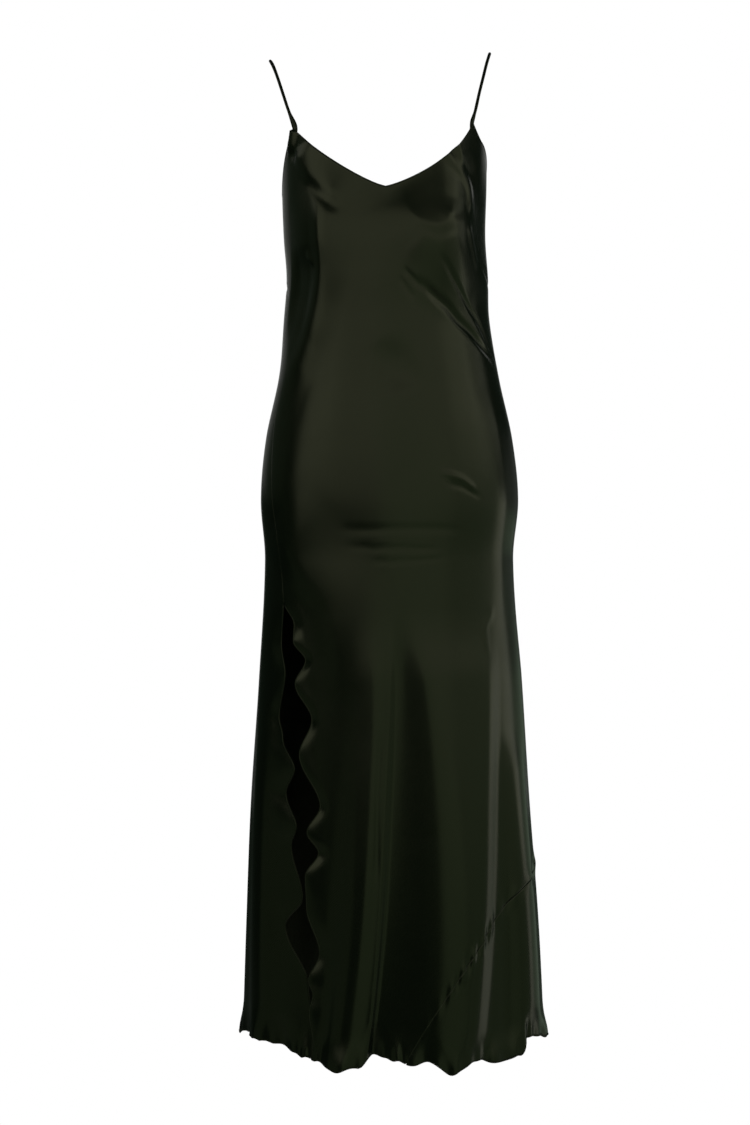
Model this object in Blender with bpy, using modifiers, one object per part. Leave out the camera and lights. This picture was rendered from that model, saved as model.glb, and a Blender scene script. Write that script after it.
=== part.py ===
"""A bias-cut satin slip dress, filled out as it is worn.

The dress stands in its own frame: +X to the wearer's left, +Y to the back, +Z up, and the origin between
the tops of the two straps, where the shoulders carry it. Every size is in metres, and a drop is a distance
below the shoulder line. A place on the cloth is an angle round the body, 0 at the front, 90 at the
wearer's left side and 180 at the back, together with a drop.

The pieces are the ones a maker cuts: a front, a corner piece that fills the front's lower left, a back that
comes round to the slit, and two rouleau straps.
"""

import bisect
import math
from collections import namedtuple

import bmesh
import bpy
from mathutils import Vector

# Driving sizes.
WALL = 0.0015
SEAM_GAP = 0.0005
STRAP_WIDTH = 0.0042
UNDERARM_DROP = 0.190
SLIT_TOP_DROP = 0.739
HEM_DROP = 1.325
STRAP_LAP = 0.014
EDGE_BAND = 0.045
FULL_TURN = 360.0

# The garment's level sections: its sideways centre, half its width, its reach to the front and to the
# back, and how square its corners are, 2 being an ellipse.
Section = namedtuple("Section", "drop centre half_width front back square")
SECTIONS = (
    Section(0.100, -0.0050, 0.1390, 0.112, 0.080, 2.50),
    Section(0.184, -0.0052, 0.1386, 0.110, 0.086, 2.50),
    Section(0.250, -0.0048, 0.1367, 0.118, 0.088, 2.40),
    Section(0.305, -0.0010, 0.1367, 0.114, 0.083, 2.30),
    Section(0.359, -0.0020, 0.1394, 0.109, 0.080, 2.20),
    Section(0.441, 0.0014, 0.1496, 0.110, 0.092, 2.15),
    Section(0.522, 0.0014, 0.1673, 0.112, 0.112, 2.10),
    Section(0.604, 0.0020, 0.1748, 0.113, 0.123, 2.10),
    Section(0.685, 0.0014, 0.1686, 0.112, 0.121, 2.05),
    Section(0.849, 0.0027, 0.1782, 0.115, 0.117, 2.00),
    Section(1.012, 0.0021, 0.1884, 0.122, 0.119, 2.00),
    Section(1.175, 0.0050, 0.1975, 0.131, 0.124, 2.00),
    Section(1.350, 0.0066, 0.2045, 0.140, 0.131, 2.00),
)

# The soft cups of the front: where each stands furthest out, how far it reaches round, up and down the
# cloth, and how far it stands out.
Cup = namedtuple("Cup", "angle drop spread above below depth")
CUPS = (
    Cup(-37.0, 0.252, 27.0, 0.085, 0.120, 0.009),
    Cup(33.0, 0.238, 27.0, 0.070, 0.110, 0.014),
)

# The two drag folds at the wearer's left of the waist. Each runs from one point to another, so wide to each
# side, and stands out so far.
DragFold = namedtuple("DragFold", "angle drop to_angle to_drop spread depth")
DRAG_FOLDS = (
    DragFold(20.0, 0.330, 84.0, 0.426, 0.016, 0.0040),
    DragFold(42.0, 0.318, 84.0, 0.392, 0.014, 0.0030),
)

# The skirt's flutes. Each crest starts at a drop and an angle, ends at the hem at an angle, and falls away
# over so many degrees to each side.
Flute = namedtuple("Flute", "top_drop top_angle hem_angle before after depth")
FLUTES = (
    Flute(0.830, 1.5, -8.0, 20.0, 9.0, 0.014),
    Flute(0.740, 57.0, 26.0, 27.0, 16.0, 0.024),
    Flute(0.800, 68.0, 51.0, 9.0, 13.0, 0.012),
    Flute(0.800, 114.0, 112.0, 16.0, 16.0, 0.014),
    Flute(0.860, 136.0, 135.0, 13.0, 17.0, 0.022),
    Flute(0.740, 160.0, 163.0, 14.0, 16.0, 0.014),
    Flute(0.800, 192.0, 196.0, 17.0, 14.0, 0.024),
    Flute(0.900, 218.0, 225.0, 16.0, 15.0, 0.018),
    Flute(0.780, 242.0, 250.0, 14.0, 13.0, 0.012),
    Flute(0.850, 292.0, 301.0, 16.0, 14.0, 0.007),
)

# The curled hem turns out and in by turns. Each row is a turn: its angle, how far the edge stands out
# there, and how far it falls below the level hem.
HemTurn = namedtuple("HemTurn", "angle out fall")
FRONT_HEM_TURNS = (
    HemTurn(-86.0, 0.003, -0.004),
    HemTurn(-72.0, -0.003, -0.009),
    HemTurn(-61.0, 0.004, -0.008),
    HemTurn(-48.0, -0.004, -0.005),
    HemTurn(-35.0, 0.003, 0.007),
    HemTurn(-29.0, 0.001, 0.009),
    HemTurn(-20.5, 0.006, 0.018),
    HemTurn(-12.5, 0.004, 0.013),
    HemTurn(-7.5, -0.004, -0.002),
    HemTurn(0.0, 0.002, 0.004),
    HemTurn(7.0, 0.001, 0.010),
    HemTurn(12.0, -0.002, 0.004),
    HemTurn(19.5, 0.007, 0.021),
    HemTurn(30.0, -0.002, 0.007),
    HemTurn(40.0, 0.005, 0.013),
    HemTurn(49.0, 0.004, 0.008),
    HemTurn(55.0, -0.005, -0.013),
    HemTurn(76.0, 0.007, -0.003),
    HemTurn(90.0, -0.003, -0.004),
)
BACK_HEM_FROM = 99.0
BACK_HEM_TO = 265.0
BACK_HEM_COUNT = 17
BACK_HEM_OUT = 0.0065
BACK_HEM_FALL = 0.0060

# The right seam, which swings forward as it falls and becomes the slit's middle.
SeamPoint = namedtuple("SeamPoint", "drop angle")
RIGHT_SEAM = (
    SeamPoint(0.190, -84.0),
    SeamPoint(0.460, -71.0),
    SeamPoint(0.739, -55.3),
    SeamPoint(0.930, -44.0),
    SeamPoint(1.080, -37.5),
    SeamPoint(1.220, -34.0),
    SeamPoint(1.350, -32.0),
)

# The slit's two curled edges. Each row is a turn: its drop, its angle, and how far it lifts off the body.
SlitTurn = namedtuple("SlitTurn", "drop angle lift")
FRONT_SLIT = (
    SlitTurn(0.739, -55.2, 0.000),
    SlitTurn(0.771, -47.2, 0.004),
    SlitTurn(0.793, -46.2, -0.002),
    SlitTurn(0.818, -39.8, 0.006),
    SlitTurn(0.848, -44.1, -0.004),
    SlitTurn(0.896, -35.2, 0.007),
    SlitTurn(0.943, -40.2, -0.005),
    SlitTurn(1.000, -29.7, 0.007),
    SlitTurn(1.024, -33.2, -0.003),
    SlitTurn(1.052, -29.8, 0.006),
    SlitTurn(1.093, -34.2, -0.005),
    SlitTurn(1.130, -31.2, 0.005),
    SlitTurn(1.160, -31.8, -0.003),
    SlitTurn(1.200, -29.4, 0.006),
    SlitTurn(1.239, -32.2, 0.002),
    SlitTurn(1.262, -30.6, 0.006),
    SlitTurn(1.288, -31.6, 0.003),
    SlitTurn(1.312, -30.8, 0.006),
    SlitTurn(1.350, -31.5, 0.004),
)
BACK_SLIT = (
    SlitTurn(0.739, -55.4, 0.000),
    SlitTurn(0.792, -57.3, -0.004),
    SlitTurn(0.838, -51.5, 0.005),
    SlitTurn(0.892, -56.0, -0.006),
    SlitTurn(0.924, -53.9, -0.004),
    SlitTurn(0.968, -45.3, 0.006),
    SlitTurn(1.010, -49.2, -0.006),
    SlitTurn(1.066, -40.6, 0.006),
    SlitTurn(1.120, -43.4, -0.005),
    SlitTurn(1.168, -41.6, 0.003),
    SlitTurn(1.209, -42.7, -0.005),
    SlitTurn(1.252, -33.2, -0.004),
    SlitTurn(1.290, -32.0, -0.006),
    SlitTurn(1.350, -32.2, -0.004),
)

# The diagonal seam over the front's corner piece.
CornerPoint = namedtuple("CornerPoint", "angle drop")
CORNER_SEAM = (
    CornerPoint(-95.0, 1.898),
    CornerPoint(4.4, 1.331),
    CornerPoint(16.3, 1.263),
    CornerPoint(30.0, 1.198),
    CornerPoint(48.5, 1.135),
    CornerPoint(66.0, 1.106),
    CornerPoint(98.0, 1.088),
)
CORNER_TIP = 0.006

# The top edge, once round. Each row starts a stretch that ends at the next row, and the edge sags so far
# below the straight line between them.
EdgeStretch = namedtuple("EdgeStretch", "angle drop sag")
TOP_EDGE = (
    EdgeStretch(-84.0, 0.190, -0.006),
    EdgeStretch(-56.5, 0.1150, 0.000),
    EdgeStretch(0.0, 0.199, 0.008),
    EdgeStretch(54.2, 0.1090, 0.002),
    EdgeStretch(66.0, 0.1290, -0.007),
    EdgeStretch(96.0, 0.174, 0.012),
    EdgeStretch(138.7, 0.183, 0.031),
    EdgeStretch(224.5, 0.183, 0.008),
    EdgeStretch(276.0, 0.190, 0.000),
)
FRONT_POINTS = (-56.5, 54.2)
BACK_POINTS = (224.5, 138.7)

# The columns of each panel: where a column stands at the top edge and at the hem, and how many equal
# steps lead to it from the row before.
ColumnStop = namedtuple("ColumnStop", "top_angle hem_angle steps")
FRONT_COLUMNS = (
    ColumnStop(-84.0, -32.0, 0),
    ColumnStop(-81.0, -29.6, 1),
    ColumnStop(-77.5, -26.6, 1),
    ColumnStop(-73.0, -22.6, 1),
    ColumnStop(-56.5, -11.5, 4),
    ColumnStop(0.0, 17.0, 11),
    ColumnStop(54.2, 57.0, 11),
    ColumnStop(96.0, 96.0, 9),
)
BACK_COLUMNS = (
    ColumnStop(96.0, 96.0, 0),
    ColumnStop(138.7, 140.0, 9),
    ColumnStop(224.5, 228.0, 18),
    ColumnStop(262.0, 290.0, 11),
    ColumnStop(269.0, 315.0, 5),
    ColumnStop(272.0, 321.0, 1),
    ColumnStop(274.5, 325.0, 1),
    ColumnStop(276.0, 328.0, 1),
)
FINE_COLUMNS = 3
FINE_ROWS = 4
SLIT_REACH = 8

# The rows of each panel below the top edge: up to each depth, a row every step.
RowBlock = namedtuple("RowBlock", "until step")
ROW_BLOCKS = (
    RowBlock(0.048, 0.012),
    RowBlock(0.160, 0.028),
    RowBlock(0.300, 0.020),
    RowBlock(0.564, 0.044),
    RowBlock(1.100, 0.0536),
    RowBlock(1.175, 0.015),
)
CORNER_ROWS = 7

# The straps' centre lines over the shoulder, from the front point to the back point.
StrapPoint = namedtuple("StrapPoint", "side back up")
RIGHT_STRAP = (
    StrapPoint(-0.1319, -0.0600, -0.0903),
    StrapPoint(-0.1405, -0.0490, -0.0636),
    StrapPoint(-0.1493, -0.0330, -0.0356),
    StrapPoint(-0.1558, -0.0170, -0.0167),
    StrapPoint(-0.1601, 0.0000, -0.0072),
    StrapPoint(-0.1576, 0.0170, -0.0090),
    StrapPoint(-0.1527, 0.0330, -0.0188),
    StrapPoint(-0.1452, 0.0480, -0.0400),
    StrapPoint(-0.1350, 0.0610, -0.0700),
    StrapPoint(-0.1205, 0.0660, -0.1230),
)
LEFT_STRAP = (
    StrapPoint(0.1150, -0.0640, -0.0912),
    StrapPoint(0.1210, -0.0525, -0.0645),
    StrapPoint(0.1278, -0.0370, -0.0366),
    StrapPoint(0.1332, -0.0200, -0.0147),
    StrapPoint(0.1382, 0.0000, 0.0027),
    StrapPoint(0.1355, 0.0200, -0.0043),
    StrapPoint(0.1320, 0.0370, -0.0178),
    StrapPoint(0.1266, 0.0525, -0.0390),
    StrapPoint(0.1199, 0.0645, -0.0690),
    StrapPoint(0.1070, 0.0690, -0.1230),
)
STRAP_STEPS = 4
STRAP_SIDES = 2

SATIN_COLOUR = (0.016, 0.017, 0.012, 1.0)
SATIN_ROUGHNESS = 0.38
STRAP_ROUGHNESS = 0.45


def eased(share):
    """A smooth step from 0 to 1."""
    share = min(1.0, max(0.0, share))
    return share * share * (3.0 - 2.0 * share)


def blend(first, second, share):
    return first + (second - first) * share


def place_in(keys, value):
    """The stretch of a rising list that holds a value."""
    return min(len(keys) - 2, max(0, bisect.bisect_right(keys, value) - 1))


def along(rows, key, value, wanted):
    """A table's column `wanted`, read smoothly at `value` of its column `key`."""
    keys = [getattr(row, key) for row in rows]
    values = [getattr(row, wanted) for row in rows]
    value = min(keys[-1], max(keys[0], value))
    i = place_in(keys, value)

    def slope(j):
        before, after = max(0, j - 1), min(len(keys) - 1, j + 1)
        return (values[after] - values[before]) / (keys[after] - keys[before])

    span = keys[i + 1] - keys[i]
    t = (value - keys[i]) / span
    return (
        values[i] * (2 * t**3 - 3 * t**2 + 1)
        + values[i + 1] * (3 * t**2 - 2 * t**3)
        + slope(i) * span * (t**3 - 2 * t**2 + t)
        + slope(i + 1) * span * (t**3 - t**2)
    )


def between_turns(rows, key, value, wanted):
    """A table of turns, read so that each row is a crest or a hollow."""
    keys = [getattr(row, key) for row in rows]
    i = place_in(keys, value)
    share = eased((value - keys[i]) / (keys[i + 1] - keys[i]))
    return blend(getattr(rows[i], wanted), getattr(rows[i + 1], wanted), share)


def signed_power(value, power):
    return math.copysign(abs(value) ** power, value)


def section_point(angle, drop):
    """The plain form of the garment, with no cup, fold, flute or curl."""
    power = 2.0 / along(SECTIONS, "drop", drop, "square")
    sine = signed_power(math.sin(math.radians(angle)), power)
    cosine = signed_power(math.cos(math.radians(angle)), power)
    reach = along(SECTIONS, "drop", drop, "front" if cosine > 0 else "back")
    side = along(SECTIONS, "drop", drop, "centre") + along(SECTIONS, "drop", drop, "half_width") * sine
    return Vector((side, -reach * cosine, -drop))


def outward(angle, drop):
    """The plain form's outward normal."""
    turn, fall = 0.5, 0.004
    across = section_point(angle + turn, drop) - section_point(angle - turn, drop)
    down = section_point(angle, drop + fall) - section_point(angle, drop - fall)
    return down.cross(across).normalized()


def degrees_for(length, angle, drop):
    """How many degrees a length takes up along the cloth there."""
    turn = 1.0
    arc = (section_point(angle + turn, drop) - section_point(angle - turn, drop)).length
    return length * 2.0 * turn / arc


def degrees_past(angle, mark):
    """How far an angle lies past a mark, the short way round."""
    return (angle - mark + FULL_TURN / 2) % FULL_TURN - FULL_TURN / 2


def cup_depth(angle, drop):
    depth = 0.0
    for cup in CUPS:
        reach = cup.above if drop < cup.drop else cup.below
        off = math.hypot(degrees_past(angle, cup.angle) / cup.spread, (drop - cup.drop) / reach)
        depth += cup.depth * eased(1.0 - off)
    return depth


def drag_depth(angle, drop):
    depth = 0.0
    for fold in DRAG_FOLDS:
        share = degrees_past(angle, fold.angle) / (fold.to_angle - fold.angle)
        if 0.0 < share < 1.0:
            off = (drop - blend(fold.drop, fold.to_drop, share)) / fold.spread
            depth += fold.depth * math.sin(math.pi * share) * eased(1.0 - abs(off))
    return depth


def flute_depth(angle, drop):
    depth = 0.0
    for flute in FLUTES:
        share = (drop - flute.top_drop) / (HEM_DROP - flute.top_drop)
        if share > 0.0:
            off = degrees_past(angle, blend(flute.top_angle, flute.hem_angle, share))
            off /= flute.after if off > 0.0 else flute.before
            depth += flute.depth * min(1.0, share) * eased(1.0 - abs(off))
    return depth


def all_hem_turns():
    """The hem's turns once round, with one more at each end so that the round closes."""
    turns = list(FRONT_HEM_TURNS)
    for i in range(BACK_HEM_COUNT):
        uneven = math.sin(2.3 * i + 0.7)
        side = 1.0 if i % 2 == 0 else -1.0
        place = (i + 0.28 * uneven) / (BACK_HEM_COUNT - 1)
        out = BACK_HEM_OUT * side * (1.0 + 0.30 * uneven)
        fall = BACK_HEM_FALL * side * (1.0 - 0.35 * uneven)
        turns.append(HemTurn(blend(BACK_HEM_FROM, BACK_HEM_TO, place), out, fall))
    first, last = turns[0], turns[-1]
    before = last._replace(angle=last.angle - FULL_TURN)
    after = first._replace(angle=first.angle + FULL_TURN)
    return [before] + turns + [after]


HEM_TURNS = all_hem_turns()


def hem_turn(angle, wanted):
    start = FRONT_HEM_TURNS[0].angle
    turned = (angle - start) % FULL_TURN + start
    return between_turns(HEM_TURNS, "angle", turned, wanted)


def hem_drop(angle):
    return HEM_DROP + hem_turn(angle, "fall")


def cloth_point(angle, drop, lift=0.0):
    """A point of the cloth's outer face."""
    curl = eased(1.0 - (hem_drop(angle) - drop) / EDGE_BAND) * hem_turn(angle, "out")
    folds = cup_depth(angle, drop) + drag_depth(angle, drop) + flute_depth(angle, drop)
    return section_point(angle, drop) + outward(angle, drop) * (folds + curl + lift)


def top_drop(angle):
    """The top edge's drop at an angle."""
    angles = [row.angle for row in TOP_EDGE]
    i = place_in(angles, angle)
    share = (angle - angles[i]) / (angles[i + 1] - angles[i])
    straight = blend(TOP_EDGE[i].drop, TOP_EDGE[i + 1].drop, share)
    return straight + TOP_EDGE[i].sag * 4.0 * share * (1.0 - share)


def corner_seam(angle):
    return along(CORNER_SEAM, "angle", angle, "drop")


def front_bottom(angle):
    """The front's lower edge: the hem, and the diagonal seam beyond the corner piece's tip."""
    hem, seam = hem_drop(angle), corner_seam(angle)
    return seam - SEAM_GAP / 2 if hem - seam > CORNER_TIP else hem


def right_seam(drop):
    return along(RIGHT_SEAM, "drop", drop, "angle")


def swing(drop):
    """How far the right seam has swung from its top angle to its hem angle."""
    top, hem = RIGHT_SEAM[0].angle, RIGHT_SEAM[-1].angle
    return (right_seam(drop) - top) / (hem - top)


def slit_edge(drop, side, turns):
    """The angle of the right seam's front edge, side +1, or back edge, side -1, and of the slit below."""
    if drop > SLIT_TOP_DROP:
        return between_turns(turns, "drop", drop, "angle")
    middle = right_seam(drop)
    return middle + side * degrees_for(SEAM_GAP / 2, middle, drop)


def slit_lift(drop, turns, nearness):
    """How far the slit's curl lifts the cloth. It dies out away from the edge."""
    if drop < SLIT_TOP_DROP:
        return 0.0
    return between_turns(turns, "drop", drop, "lift") * eased((nearness - 0.86) / 0.14)


def spread(stops, counts):
    """Values from each stop to the next, in so many equal steps in each stretch."""
    values = [stops[0]]
    for first, second, count in zip(stops, stops[1:], counts):
        values += [blend(first, second, (i + 1) / count) for i in range(count)]
    return values


def row_shares():
    """Each row's place between the top edge, 0, and the bottom edge, 1."""
    depths = [0.0]
    for block in ROW_BLOCKS:
        count = round((block.until - depths[-1]) / block.step)
        depths += spread([depths[-1], block.until], [count])[1:]
    return [depth / depths[-1] for depth in depths]


ROW_SHARES = row_shares()


def row_keys(fine):
    """The row numbers of one column. A fine column has more rows beside the slit."""
    slit_share = (SLIT_TOP_DROP - UNDERARM_DROP) / (HEM_DROP - UNDERARM_DROP)
    keys = []
    for i, share in enumerate(ROW_SHARES[:-1]):
        parts = FINE_ROWS if fine and ROW_SHARES[i + 1] > slit_share and share < 0.93 else 1
        keys += [i + j / parts for j in range(parts)]
    return keys + [len(ROW_SHARES) - 1]


def share_at(key):
    i = min(len(ROW_SHARES) - 2, int(key))
    return blend(ROW_SHARES[i], ROW_SHARES[i + 1], key - i)


def column_angles(stops):
    steps = [stop.steps for stop in stops[1:]]
    tops = spread([stop.top_angle for stop in stops], steps)
    hems = spread([stop.hem_angle for stop in stops], steps)
    return list(zip(tops, hems))


def column_angle(top_angle, hem_angle, drop, nearness, side, turns):
    """A column's angle at a drop, drawn to the slit's edge the nearer it stands to it."""
    angle = blend(top_angle, hem_angle, swing(drop))
    return angle + (slit_edge(drop, side, turns) - right_seam(drop)) * nearness**SLIT_REACH


def lower_end(angle_at, bottom):
    """The drop at which a column meets the lower edge, and its angle there."""
    drop = HEM_DROP
    for _ in range(30):
        drop = blend(drop, bottom(angle_at(drop)), 0.6)
    return drop, angle_at(drop)


def front_columns():
    """The front's columns from the slit to the left seam, and the angles of those that end on the corner
    seam."""
    angles = column_angles(FRONT_COLUMNS)
    first_hem, last_hem = angles[0][1], angles[-1][1]
    columns, seam_angles = [], []
    for i, (top_angle, hem_angle) in enumerate(angles):
        nearness = (last_hem - hem_angle) / (last_hem - first_hem)

        def angle_at(drop):
            angle = column_angle(top_angle, hem_angle, drop, nearness, +1, FRONT_SLIT)
            return angle if nearness > 0 else angle - degrees_for(SEAM_GAP / 2, angle, drop)

        bottom, bottom_angle = lower_end(angle_at, front_bottom)
        if bottom < hem_drop(bottom_angle) - CORNER_TIP / 2:
            seam_angles.append(bottom_angle)
        column = {}
        for key in row_keys(i < FINE_COLUMNS):
            drop = blend(top_drop(top_angle), bottom, share_at(key))
            column[key] = cloth_point(angle_at(drop), drop, slit_lift(drop, FRONT_SLIT, nearness))
        columns.append(column)
    return columns, seam_angles


def corner_columns(seam_angles):
    """The corner piece's columns, each one going on from a column of the front."""
    columns = []
    for angle in seam_angles:
        top = corner_seam(angle) + SEAM_GAP / 2
        drops = spread([top, hem_drop(angle)], [CORNER_ROWS])
        columns.append({row: cloth_point(angle, drop) for row, drop in enumerate(drops)})
    return columns


def back_columns():
    """The back's columns, from the left seam round to the slit and right seam."""
    angles = column_angles(BACK_COLUMNS)
    first_hem, last_hem = angles[0][1], angles[-1][1]
    columns = []
    for i, (top_angle, hem_angle) in enumerate(angles):
        nearness = (hem_angle - first_hem) / (last_hem - first_hem)

        def angle_at(drop):
            angle = column_angle(top_angle, hem_angle, drop, nearness, -1, BACK_SLIT)
            return angle if nearness > 0 else angle + degrees_for(SEAM_GAP / 2, angle, drop)

        bottom, bottom_angle = lower_end(angle_at, hem_drop)
        column = {}
        for key in row_keys(i >= len(angles) - FINE_COLUMNS):
            drop = blend(top_drop(top_angle), bottom, share_at(key))
            column[key] = cloth_point(angle_at(drop), drop, slit_lift(drop, BACK_SLIT, nearness))
        columns.append(column)
    return columns


def stitched(work, left, right):
    """Faces between two columns, which may have different numbers of rows."""
    shared = sorted(set(left) & set(right))
    for top, bottom in zip(shared, shared[1:]):
        down = [left[key] for key in sorted(left) if top <= key <= bottom]
        up = [right[key] for key in sorted(right, reverse=True) if top <= key <= bottom]
        work.faces.new(down + up)


def satin(name, roughness):
    material = bpy.data.materials.new(name)
    material.use_nodes = True
    shader = material.node_tree.nodes["Principled BSDF"]
    shader.inputs["Base Color"].default_value = SATIN_COLOUR
    shader.inputs["Roughness"].default_value = roughness
    shader.inputs["Metallic"].default_value = 0.0
    return material


def panel(name, columns, collection):
    """One cut piece: columns of outer-face points, given a wall that lies inside them."""
    work = bmesh.new()
    made = [{key: work.verts.new(point) for key, point in column.items()} for column in columns]
    for left, right in zip(made, made[1:]):
        stitched(work, left, right)
    bmesh.ops.triangulate(work, faces=work.faces, quad_method="BEAUTY", ngon_method="BEAUTY")
    mesh = bpy.data.meshes.new(name)
    work.to_mesh(mesh)
    work.free()
    mesh.materials.append(satin(name + "_satin", SATIN_ROUGHNESS))
    mesh.shade_smooth()
    body = bpy.data.objects.new(name, mesh)
    collection.objects.link(body)
    wall = body.modifiers.new("wall", "SOLIDIFY")
    wall.thickness = WALL
    wall.offset = -1.0


def behind_edge(angle, below):
    """A place on a strap's centre line, against the inner face and so far below a top edge point."""
    drop = top_drop(angle) + below
    return cloth_point(angle, drop, -(WALL + SEAM_GAP + STRAP_WIDTH / 2))


def strap(name, front_angle, back_angle, over_shoulder, collection):
    """A rouleau strap, sewn behind a front point and a back point of the top edge."""
    middle = [Vector((row.side, row.back, row.up)) for row in over_shoulder]
    front = [behind_edge(front_angle, STRAP_LAP), behind_edge(front_angle, 0.0)]
    back = [behind_edge(back_angle, 0.0), behind_edge(back_angle, STRAP_LAP)]
    points = front + middle + back
    curve = bpy.data.curves.new(name, "CURVE")
    curve.dimensions = "3D"
    curve.bevel_depth = STRAP_WIDTH / 2
    curve.bevel_resolution = STRAP_SIDES
    curve.resolution_u = STRAP_STEPS
    curve.use_fill_caps = True
    line = curve.splines.new("BEZIER")
    line.bezier_points.add(len(points) - 1)
    for knot, point in zip(line.bezier_points, points):
        knot.co = point
        knot.handle_left_type = "AUTO"
        knot.handle_right_type = "AUTO"
    curve.materials.append(satin(name + "_satin", STRAP_ROUGHNESS))
    body = bpy.data.objects.new(name, curve)
    collection.objects.link(body)


def main():
    for leftover in list(bpy.data.objects):
        bpy.data.objects.remove(leftover)
    dress = bpy.data.collections.new("slip_dress")
    bpy.context.scene.collection.children.link(dress)
    columns, seam_angles = front_columns()
    panel("front", columns, dress)
    panel("front_corner", corner_columns(seam_angles), dress)
    panel("back", back_columns(), dress)
    strap("right_strap", FRONT_POINTS[0], BACK_POINTS[0], RIGHT_STRAP, dress)
    strap("left_strap", FRONT_POINTS[1], BACK_POINTS[1], LEFT_STRAP, dress)


main()
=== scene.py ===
import math

import bpy
import numpy as np
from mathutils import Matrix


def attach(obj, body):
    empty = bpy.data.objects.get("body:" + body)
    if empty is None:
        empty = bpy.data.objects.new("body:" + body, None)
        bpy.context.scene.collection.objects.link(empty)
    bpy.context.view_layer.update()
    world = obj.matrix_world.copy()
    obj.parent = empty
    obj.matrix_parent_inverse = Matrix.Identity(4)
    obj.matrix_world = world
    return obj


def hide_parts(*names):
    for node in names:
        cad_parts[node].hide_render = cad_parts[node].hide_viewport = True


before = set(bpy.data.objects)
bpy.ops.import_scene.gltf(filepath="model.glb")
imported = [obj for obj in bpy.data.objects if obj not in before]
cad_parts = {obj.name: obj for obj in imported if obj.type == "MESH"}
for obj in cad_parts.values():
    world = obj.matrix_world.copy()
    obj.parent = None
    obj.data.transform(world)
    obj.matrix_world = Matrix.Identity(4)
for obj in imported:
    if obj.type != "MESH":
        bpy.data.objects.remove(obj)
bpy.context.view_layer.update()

# The dress hangs in the CAD frame: +X to the wearer's left, +Y to the back, +Z up, in metres.
# A place on the cloth is an angle round the body (0 front, 90 the wearer's left, 180 back)
# and a drop below the shoulder line.


def table(names, rows):  # a short table with named columns
    return dict(zip(names.split(), np.array(rows, float).T))


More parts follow.
